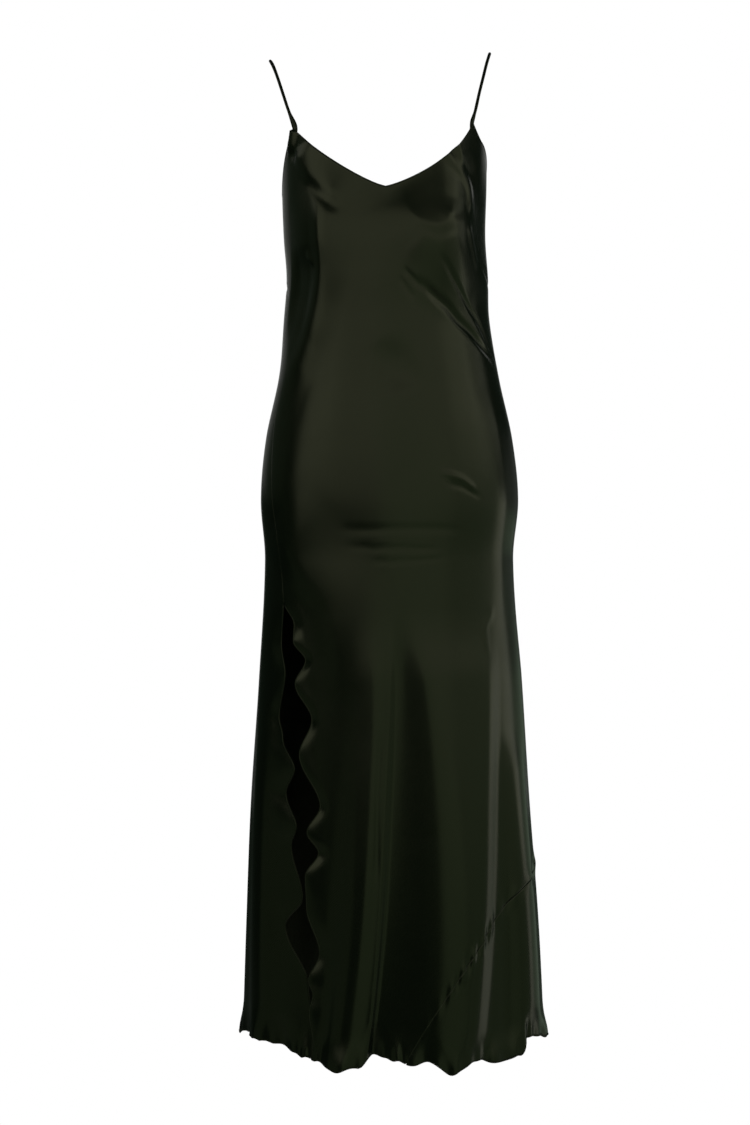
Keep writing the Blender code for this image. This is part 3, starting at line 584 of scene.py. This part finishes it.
# a tube along a line, with its height towards the ups and its own map in metres
def tubeMesh(name, line, ups, halfWidth, halfHeight, sides, material):
    tangent = unit(np.gradient(line, axis=0))
    up = unit(ups - tangent * np.einsum("ij,ij->i", ups, tangent)[:, None])
    across = np.cross(tangent, up)
    turns = np.arange(sides) * 2.0 * math.pi / sides
    ring = (np.cos(turns)[None, :, None] * up[:, None, :] * np.reshape(halfHeight, (-1, 1, 1))
            + np.sin(turns)[None, :, None] * across[:, None, :] * np.reshape(halfWidth, (-1, 1, 1)))
    points = line[:, None, :] + ring
    count = len(line)
    index = np.arange(count * sides).reshape(count, sides)
    nextOne = np.roll(index, -1, axis=1)
    faces = np.stack([index[:-1], nextOne[:-1], nextOne[1:], index[1:]], -1).reshape(-1, 4)
    caps = [index[0][::-1].tolist(), index[-1].tolist()]
    mesh = bpy.data.meshes.new(name)
    mesh.from_pydata(points.reshape(-1, 3).tolist(), [], faces.tolist() + caps)
    run = np.concatenate([[0.0], np.cumsum(np.linalg.norm(np.diff(line, axis=0), axis=1))])
    girth = np.arange(sides + 1) / sides * 2.0 * math.pi * float(np.mean(halfWidth))
    corners = np.stack([
        np.stack(np.broadcast_arrays(girth[None, :-1], run[:-1, None]), -1),
        np.stack(np.broadcast_arrays(girth[None, 1:], run[:-1, None]), -1),
        np.stack(np.broadcast_arrays(girth[None, 1:], run[1:, None]), -1),
        np.stack(np.broadcast_arrays(girth[None, :-1], run[1:, None]), -1),
    ], 2).reshape(-1, 2)
    corners = np.concatenate([corners, np.zeros((2 * sides, 2))])
    layer = mesh.uv_layers.new(name="clothMap")
    layer.data.foreach_set("uv", corners.ravel())
    mesh.shade_smooth()
    mesh.materials.append(material)
    piece = bpy.data.objects.new(name, mesh)
    bpy.context.scene.collection.objects.link(piece)
    return piece


# the rolled edges; the slit's start a little below its top
rolls = {"radius": 0.0010, "neckRadius": 0.0008, "sides": 8, "belowSlitTop": 0.004}


def makeRoll(name, line, normals, radius, material):
    sunk = line - normals * panels["thickness"] / 2.0
    piece = tubeMesh(name, sunk, normals, radius, radius, rolls["sides"], material)
    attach(piece, "root")
    return piece


def gridNormals(points):
    across = np.gradient(points, axis=0)
    down = np.gradient(points, axis=1)
    return unit(np.cross(down, across))


straps = {
    "width": 0.0042,
    "lap": 0.014,
    "sides": 12,
    "steps": 14,
    "behind": 0.0020,  # the solid wall and the gap between it and a strap's end
    "flatWider": 0.22,  # a strap's ends are pressed flat
    "flatThinner": 0.35,
    "tilt": 0.35,  # their thin way points sideways, and up by this much
    # each strap's middle, from its front over the shoulder to its back
    "right": [
        (-0.1319, -0.0600, -0.0903), (-0.1405, -0.0490, -0.0636), (-0.1493, -0.0330, -0.0356),
        (-0.1558, -0.0170, -0.0167), (-0.1601, 0.0000, -0.0072), (-0.1576, 0.0170, -0.0090),
        (-0.1527, 0.0330, -0.0188), (-0.1452, 0.0480, -0.0400), (-0.1350, 0.0610, -0.0700),
        (-0.1205, 0.0660, -0.1230),
    ],
    "left": [
        (0.1150, -0.0640, -0.0912), (0.1210, -0.0525, -0.0645), (0.1278, -0.0370, -0.0366),
        (0.1332, -0.0200, -0.0147), (0.1382, 0.0000, 0.0027), (0.1355, 0.0200, -0.0043),
        (0.1320, 0.0370, -0.0178), (0.1266, 0.0525, -0.0390), (0.1199, 0.0645, -0.0690),
        (0.1070, 0.0690, -0.1230),
    ],
    "frontAngles": {"right": -56.5, "left": 54.2},
    "backAngles": {"right": 224.5, "left": 138.7},
}


def behindEdge(angle, below):
    drop = topDrop(np.array([angle])) + below
    lift = -(straps["behind"] + straps["width"] / 2)
    return clothPoint(np.array([angle]), drop, lift)[0]


def strapLine(side):  # the strap's centre line, read off a curve with automatic handles
    front, back = straps["frontAngles"][side], straps["backAngles"][side]
    lap = straps["lap"]
    knots = [behindEdge(front, lap), behindEdge(front, 0.0), *straps[side],
             behindEdge(back, 0.0), behindEdge(back, lap)]
    curve = bpy.data.curves.new("strapPath", "CURVE")
    curve.dimensions = "3D"
    curve.resolution_u = straps["steps"]
    spline = curve.splines.new("BEZIER")
    spline.bezier_points.add(len(knots) - 1)
    for knot, place in zip(spline.bezier_points, knots):
        knot.co = [float(v) for v in place]
        knot.handle_left_type = knot.handle_right_type = "AUTO"
    holder = bpy.data.objects.new("strapPath", curve)
    bpy.context.scene.collection.objects.link(holder)
    bpy.context.view_layer.update()
    mesh = holder.evaluated_get(bpy.context.evaluated_depsgraph_get()).to_mesh()
    line = np.array([vertex.co for vertex in mesh.vertices])
    bpy.data.objects.remove(holder)
    return line


def makeStrap(name, node, side, material):
    line = strapLine(side)
    run = np.concatenate([[0.0], np.cumsum(np.linalg.norm(np.diff(line, axis=0), axis=1))])
    fromEnd = np.minimum(run, run[-1] - run)
    flat = eased(1.0 - (fromEnd - straps["lap"] * 0.5) / straps["lap"])
    halfWidth = straps["width"] / 2 * (1.0 + straps["flatWider"] * flat)
    halfHeight = straps["width"] / 2 * (1.0 - straps["flatThinner"] * flat)
    ups = unit(np.array([1.0 if side == "left" else -1.0, 0.0, straps["tilt"]]) + 0.0 * line)
    piece = tubeMesh(name, line, ups, halfWidth, halfHeight, straps["sides"], material)
    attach(piece, "root")
    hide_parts(node)
    print("made", name, round(float(run[-1]), 3), "m")


# the satins: each one's thread pitch, slubs, roughness of its palest and its deepest threads, how
# far they stand out, and sheen
finish = {
    "deep": (0.0030, 0.0060, 0.0034, 1.0),
    "pale": (0.0050, 0.0078, 0.0044, 1.0),
    "tint": (0.96, 1.0, 0.60, 1.0),
    "relief": 0.00012,
    "sheenRoughness": 0.45,
    "shadeRange": (0.25, 0.75),
    "blackSatin": (2600.0, 0.6, 0.21, 0.27, 0.35, 0.0),
    "satinReverse": (1800.0, 0.9, 0.52, 0.62, 0.5, 0.02),
    "rolledSatin": (1500.0, 1.0, 0.42, 0.50, 0.8, 0.0),
    "strapSatin": (2000.0, 1.0, 0.36, 0.46, 0.6, 0.0),
}
weaveLook = {
    "bias": 45.0,
    "bandsPerPitch": 0.05,
    "threads": {"Distortion": 1.2, "Detail": 1.0, "Detail Scale": 0.4},
    "threadHeight": 0.5,
    "slubStretch": (900.0, 45.0, 1.0),
    "slubs": {"Scale": 1.0, "Detail": 2.0},
    "slubShade": 0.45,
    "drift": {"Scale": 22.0, "Detail": 3.0},
    "driftShade": 0.55,
}


def newGroup(name, inputs, outputs):
    group = bpy.data.node_groups.new(name, "ShaderNodeTree")
    for socket, value in inputs:
        made = group.interface.new_socket(name=socket, in_out="INPUT", socket_type="NodeSocketFloat")
        made.default_value = value
    for socket in outputs:
        group.interface.new_socket(name=socket, in_out="OUTPUT", socket_type="NodeSocketFloat")
    return group, group.nodes.new("NodeGroupInput"), group.nodes.new("NodeGroupOutput")


def setInputs(node, values):
    for name, value in values.items():
        node.inputs[name].default_value = value


def mathNode(nodes, links, operation, first, second):
    node = nodes.new("ShaderNodeMath")
    node.operation = operation
    for socket, value in zip(node.inputs, (first, second)):
        if hasattr(value, "links"):
            links.new(value, socket)
        else:
            socket.default_value = value
    return node.outputs[0]


def makeSatinWeave():  # floating threads on the bias, slubs along them and slow unevenness
    group, given, out = newGroup("satinWeave", [("Pitch", 2600.0), ("Slub", 0.6)], ["Height", "Shade"])
    nodes, links = group.nodes, group.links
    place = nodes.new("ShaderNodeUVMap")
    place.uv_map = "clothMap"
    bias = nodes.new("ShaderNodeMapping")
    setInputs(bias, {"Rotation": (0.0, 0.0, math.radians(weaveLook["bias"]))})
    links.new(place.outputs["UV"], bias.inputs["Vector"])
    threads = nodes.new("ShaderNodeTexWave")
    threads.wave_type = "BANDS"
    threads.bands_direction = "X"
    setInputs(threads, weaveLook["threads"])
    links.new(bias.outputs["Vector"], threads.inputs["Vector"])
    bands = mathNode(nodes, links, "MULTIPLY", given.outputs["Pitch"], weaveLook["bandsPerPitch"])
    links.new(bands, threads.inputs["Scale"])
    longWays = nodes.new("ShaderNodeMapping")
    setInputs(longWays, {"Scale": weaveLook["slubStretch"]})
    links.new(bias.outputs["Vector"], longWays.inputs["Vector"])
    slub = nodes.new("ShaderNodeTexNoise")
    setInputs(slub, weaveLook["slubs"])
    links.new(longWays.outputs["Vector"], slub.inputs["Vector"])
    drift = nodes.new("ShaderNodeTexNoise")
    setInputs(drift, weaveLook["drift"])
    links.new(place.outputs["UV"], drift.inputs["Vector"])
    slubs = mathNode(nodes, links, "MULTIPLY", slub.outputs["Fac"], given.outputs["Slub"])
    floats = mathNode(nodes, links, "MULTIPLY", threads.outputs["Fac"], weaveLook["threadHeight"])
    slubShade = mathNode(nodes, links, "MULTIPLY", slub.outputs["Fac"], weaveLook["slubShade"])
    driftShade = mathNode(nodes, links, "MULTIPLY", drift.outputs["Fac"], weaveLook["driftShade"])
    links.new(mathNode(nodes, links, "ADD", floats, slubs), out.inputs["Height"])
    links.new(mathNode(nodes, links, "ADD", slubShade, driftShade), out.inputs["Shade"])
    return group


def makeMaterial(name, weave):
    pitch, slub, paleRough, deepRough, bump, sheen = finish[name]
    material = bpy.data.materials.new(name)
    material.use_nodes = True
    nodes, links = material.node_tree.nodes, material.node_tree.links
    shader = nodes["Principled BSDF"]
    cloth = nodes.new("ShaderNodeGroup")
    cloth.node_tree = weave
    setInputs(cloth, {"Pitch": pitch, "Slub": slub})
    colour = nodes.new("ShaderNodeMix")
    colour.data_type = "RGBA"
    setInputs(colour, {"A": finish["deep"], "B": finish["pale"]})
    links.new(cloth.outputs["Shade"], colour.inputs["Factor"])
    links.new(colour.outputs["Result"], shader.inputs["Base Color"])
    rough = nodes.new("ShaderNodeMapRange")
    low, high = finish["shadeRange"]
    setInputs(rough, {"From Min": low, "From Max": high, "To Min": deepRough, "To Max": paleRough})
    links.new(cloth.outputs["Shade"], rough.inputs["Value"])
    links.new(rough.outputs["Result"], shader.inputs["Roughness"])
    relief = nodes.new("ShaderNodeBump")
    setInputs(relief, {"Strength": bump, "Distance": finish["relief"]})
    links.new(cloth.outputs["Height"], relief.inputs["Height"])
    links.new(relief.outputs["Normal"], shader.inputs["Normal"])
    setInputs(shader, {"Specular Tint": finish["tint"], "Sheen Weight": sheen})
    setInputs(shader, {"Sheen Roughness": finish["sheenRoughness"]})
    return material


weave = makeSatinWeave()
satin, satinReverse, rolledSatin, strapSatin = [
    makeMaterial(name, weave) for name in ("blackSatin", "satinReverse", "rolledSatin", "strapSatin")]
print("materials ready")

frontHems = hemAngles(panels["frontStops"]["hem"], panels["frontStep"], panels["frontFine"])
backHems = hemAngles(panels["backStops"]["hem"], panels["backStep"], panels["backFine"])


def frontBottom(angle):
    return np.minimum(hemDrop(angle), cornerSeam(angle))


frontAngles, frontDrops, frontLift = panelGrid(
    panels["frontStops"], frontHems, True, form["frontSlit"], frontBottom, panels["frontRow"])
backAngles, backDrops, backLift = panelGrid(
    panels["backStops"], backHems, False, form["backSlit"], hemDrop, panels["backRow"])

# the corner piece hangs from the front's columns that end on the diagonal seam
ends = frontAngles[:, -1]
seamed = ends[hemDrop(ends) - cornerSeam(ends) > panels["cornerTip"]]
cornerTop, cornerBottom = cornerSeam(seamed), hemDrop(seamed)
cornerRows = int(round(float((cornerBottom - cornerTop).max()) / panels["cornerRow"]))
cornerShares = np.linspace(0.0, 1.0, cornerRows + 1)
cornerDrops = mixed(cornerTop[:, None], cornerBottom[:, None], cornerShares[None, :])
cornerAngles = np.broadcast_to(seamed[:, None], cornerDrops.shape)

cloths = [satin, satinReverse]
front, frontPoints, frontFlat, frontArea = makePanel(
    "frontPanel", "front", frontAngles, frontDrops, frontLift, cloths)
corner, cornerPoints, cornerFlat, cornerArea = makePanel(
    "cornerPanel", "front_corner", cornerAngles, cornerDrops, 0.0, cloths)
back, backPoints, backFlat, backArea = makePanel(
    "backPanel", "back", backAngles, backDrops, backLift, cloths)

# the rolls: along each top edge, from each slit edge round along its hem, and on the corner's hem
frontNormals, cornerNormals, backNormals = [gridNormals(p) for p in (frontPoints, cornerPoints, backPoints)]
rollTop = form["slitTop"] + rolls["belowSlitTop"]
frontSlitRows, backSlitRows = frontDrops[0] > rollTop, backDrops[-1] > rollTop
hemmed = slice(0, len(frontHems) - len(seamed) + 1)


def frontEdge(grid):
    return np.concatenate([grid[0][frontSlitRows], grid[hemmed, -1][1:]])


def backEdge(grid):
    return np.concatenate([grid[:, -1], grid[-1][backSlitRows][::-1][1:]])


radius, neckRadius = rolls["radius"], rolls["neckRadius"]
frontRolls = [
    makeRoll("frontSlitRoll", frontEdge(frontPoints), frontEdge(frontNormals), radius,
             rolledSatin),
    makeRoll("frontTopRoll", frontPoints[:, 0], frontNormals[:, 0], neckRadius, rolledSatin),
]
cornerRolls = [
    makeRoll("cornerHemRoll", cornerPoints[:, -1], cornerNormals[:, -1], radius,
             rolledSatin),
]
backRolls = [
    makeRoll("backHemRoll", backEdge(backPoints), backEdge(backNormals), radius, rolledSatin),
    makeRoll("backTopRoll", backPoints[:, 0], backNormals[:, 0], neckRadius, rolledSatin),
]
makeStrap("rightStrap", "right_strap", "right", strapSatin)
makeStrap("leftStrap", "left_strap", "left", strapSatin)

print("garment ready")

studio = {
    "camera": {"place": (-0.0177, -2.6, -0.689), "lens": 61.18, "sensor": 36.0},
    "floor": {"height": -2.40, "size": 30.0, "colour": (0.80, 0.80, 0.79, 1.0), "roughness": 0.9},
    "backdrop": (1.0, 1.0, 1.0, 1.0),
    "surround": (0.014, 0.022, 0.015, 1.0),
    "green": (0.78, 1.0, 0.76),
    # softboxes round the dress, facing it: azimuth (0 in front, 90 at the wearer's left),
    # distance, height of the middle, width, height, brightness and how green
    "lamps": [
        ("frontHighBox", 20.0, 3.3, 2.35, 2.6, 1.90, 0.12, 0.0),
        ("frontSoftbox", 18.0, 3.3, 0.525, 2.7, 1.25, 0.50, 0.0),
        ("frontMiddleBox", 18.0, 3.3, -0.45, 2.7, 0.70, 0.43, 0.4),
        ("frontStepBox", 18.5, 3.3, -0.96, 2.6, 0.32, 0.34, 0.8),
        ("frontLowBox", 20.0, 3.3, -1.74, 2.3, 1.24, 0.24, 1.0),
        ("leftSoftbox", 57.0, 3.0, 0.70, 1.72, 1.62, 0.70, 0.0),
        ("leftHighBox", 84.0, 3.0, 1.15, 1.60, 0.62, 0.55, 0.0),
        ("leftSideBox", 86.0, 3.0, 0.20, 1.70, 0.50, 0.55, 0.0),
        ("leftRimBox", 147.0, 3.0, 0.95, 1.5, 1.00, 0.42, 0.0),
        ("leftMiddleBox", 62.0, 3.0, -0.43, 2.3, 0.66, 0.34, 0.4),
        ("leftStepBox", 62.0, 3.0, -0.90, 2.3, 0.28, 0.27, 0.8),
        ("leftLowBox", 62.0, 3.0, -1.70, 2.3, 1.32, 0.20, 1.0),
        ("rightSoftbox", -19.5, 3.1, 0.31, 1.72, 1.80, 0.52, 0.0),
        ("rightSideBox", -51.0, 3.0, 0.48, 1.70, 1.95, 0.63, 0.0),
        ("rightHighBox", -90.0, 3.0, 1.15, 1.90, 0.74, 0.60, 0.0),
        ("rightLowBox", -62.0, 3.0, -1.67, 2.6, 1.50, 0.095, 1.0),
        ("rightDimBox", -105.0, 3.0, 0.25, 2.6, 1.50, 0.06, 1.0),
        ("leftStrip", 94.0, 2.5, -0.78, 1.05, 0.64, 0.95, 0.0),
        ("leftLowStrip", 97.0, 2.5, -1.77, 0.80, 1.32, 0.64, 0.0),
        ("sideHighBox", 128.0, 2.8, -0.42, 2.2, 0.65, 0.09, 0.0),
        ("sideLowBox", 128.0, 2.8, -1.35, 2.2, 1.20, 0.26, 1.0),
        ("rimBox", -150.0, 3.0, 0.45, 2.2, 1.70, 0.17, 0.0),
        ("backSoftbox", 180.0, 3.2, 0.00, 2.8, 2.8, 0.18, 0.0),
    ],
}


def makeLamp(name, azimuth, distance, height, wide, tall, glow, green):
    light = bpy.data.lights.new(name, "AREA")
    light.shape = "RECTANGLE"
    light.size, light.size_y = wide, tall
    light.energy = glow * math.pi * wide * tall
    light.color = [mixed(1.0, full, green) for full in studio["green"]]
    lamp = bpy.data.objects.new(name, light)
    turn = math.radians(azimuth)
    lamp.location = (distance * math.sin(turn), -distance * math.cos(turn), height)
    lamp.rotation_euler = (math.pi / 2, 0.0, turn)
    lamp.visible_camera = False
    bpy.context.scene.collection.objects.link(lamp)


for lamp in studio["lamps"]:
    makeLamp(*lamp)

world = bpy.data.worlds.new("studioWorld")
bpy.context.scene.world = world
world.use_nodes = True
nodes, links = world.node_tree.nodes, world.node_tree.links
nodes.clear()
seen = nodes.new("ShaderNodeLightPath")
surround, backdrop = nodes.new("ShaderNodeBackground"), nodes.new("ShaderNodeBackground")
setInputs(surround, {"Color": studio["surround"]})
setInputs(backdrop, {"Color": studio["backdrop"]})
choice, output = nodes.new("ShaderNodeMixShader"), nodes.new("ShaderNodeOutputWorld")
links.new(seen.outputs["Is Camera Ray"], choice.inputs[0])
links.new(surround.outputs[0], choice.inputs[1])
links.new(backdrop.outputs[0], choice.inputs[2])
links.new(choice.outputs[0], output.inputs["Surface"])

# the floor, which shows as white as the backdrop
ground = studio["floor"]
bpy.ops.object.select_all(action="DESELECT")
bpy.ops.mesh.primitive_plane_add(size=ground["size"], location=(0.0, 0.0, ground["height"]))
floor = bpy.context.active_object
floor.name = "studioFloor"
pale = bpy.data.materials.new("paleFloor")
pale.use_nodes = True
nodes, links = pale.node_tree.nodes, pale.node_tree.links
matte = nodes["Principled BSDF"]
setInputs(matte, {"Base Color": ground["colour"], "Roughness": ground["roughness"]})
seen = nodes.new("ShaderNodeLightPath")
lit, choice = nodes.new("ShaderNodeEmission"), nodes.new("ShaderNodeMixShader")
links.new(seen.outputs["Is Camera Ray"], choice.inputs[0])
links.new(matte.outputs[0], choice.inputs[1])
links.new(lit.outputs[0], choice.inputs[2])
links.new(choice.outputs[0], nodes["Material Output"].inputs["Surface"])
floor.data.materials.append(pale)

cameraData = bpy.data.cameras.new("camera")
cameraData.lens = studio["camera"]["lens"]
cameraData.sensor_width = studio["camera"]["sensor"]
camera = bpy.data.objects.new("camera", cameraData)
camera.location = studio["camera"]["place"]
camera.rotation_euler = (math.pi / 2, 0.0, 0.0)
bpy.context.scene.collection.objects.link(camera)
bpy.context.scene.camera = camera
view = bpy.context.scene.view_settings
view.view_transform = "Standard"
view.look = "None"
print("studio ready")
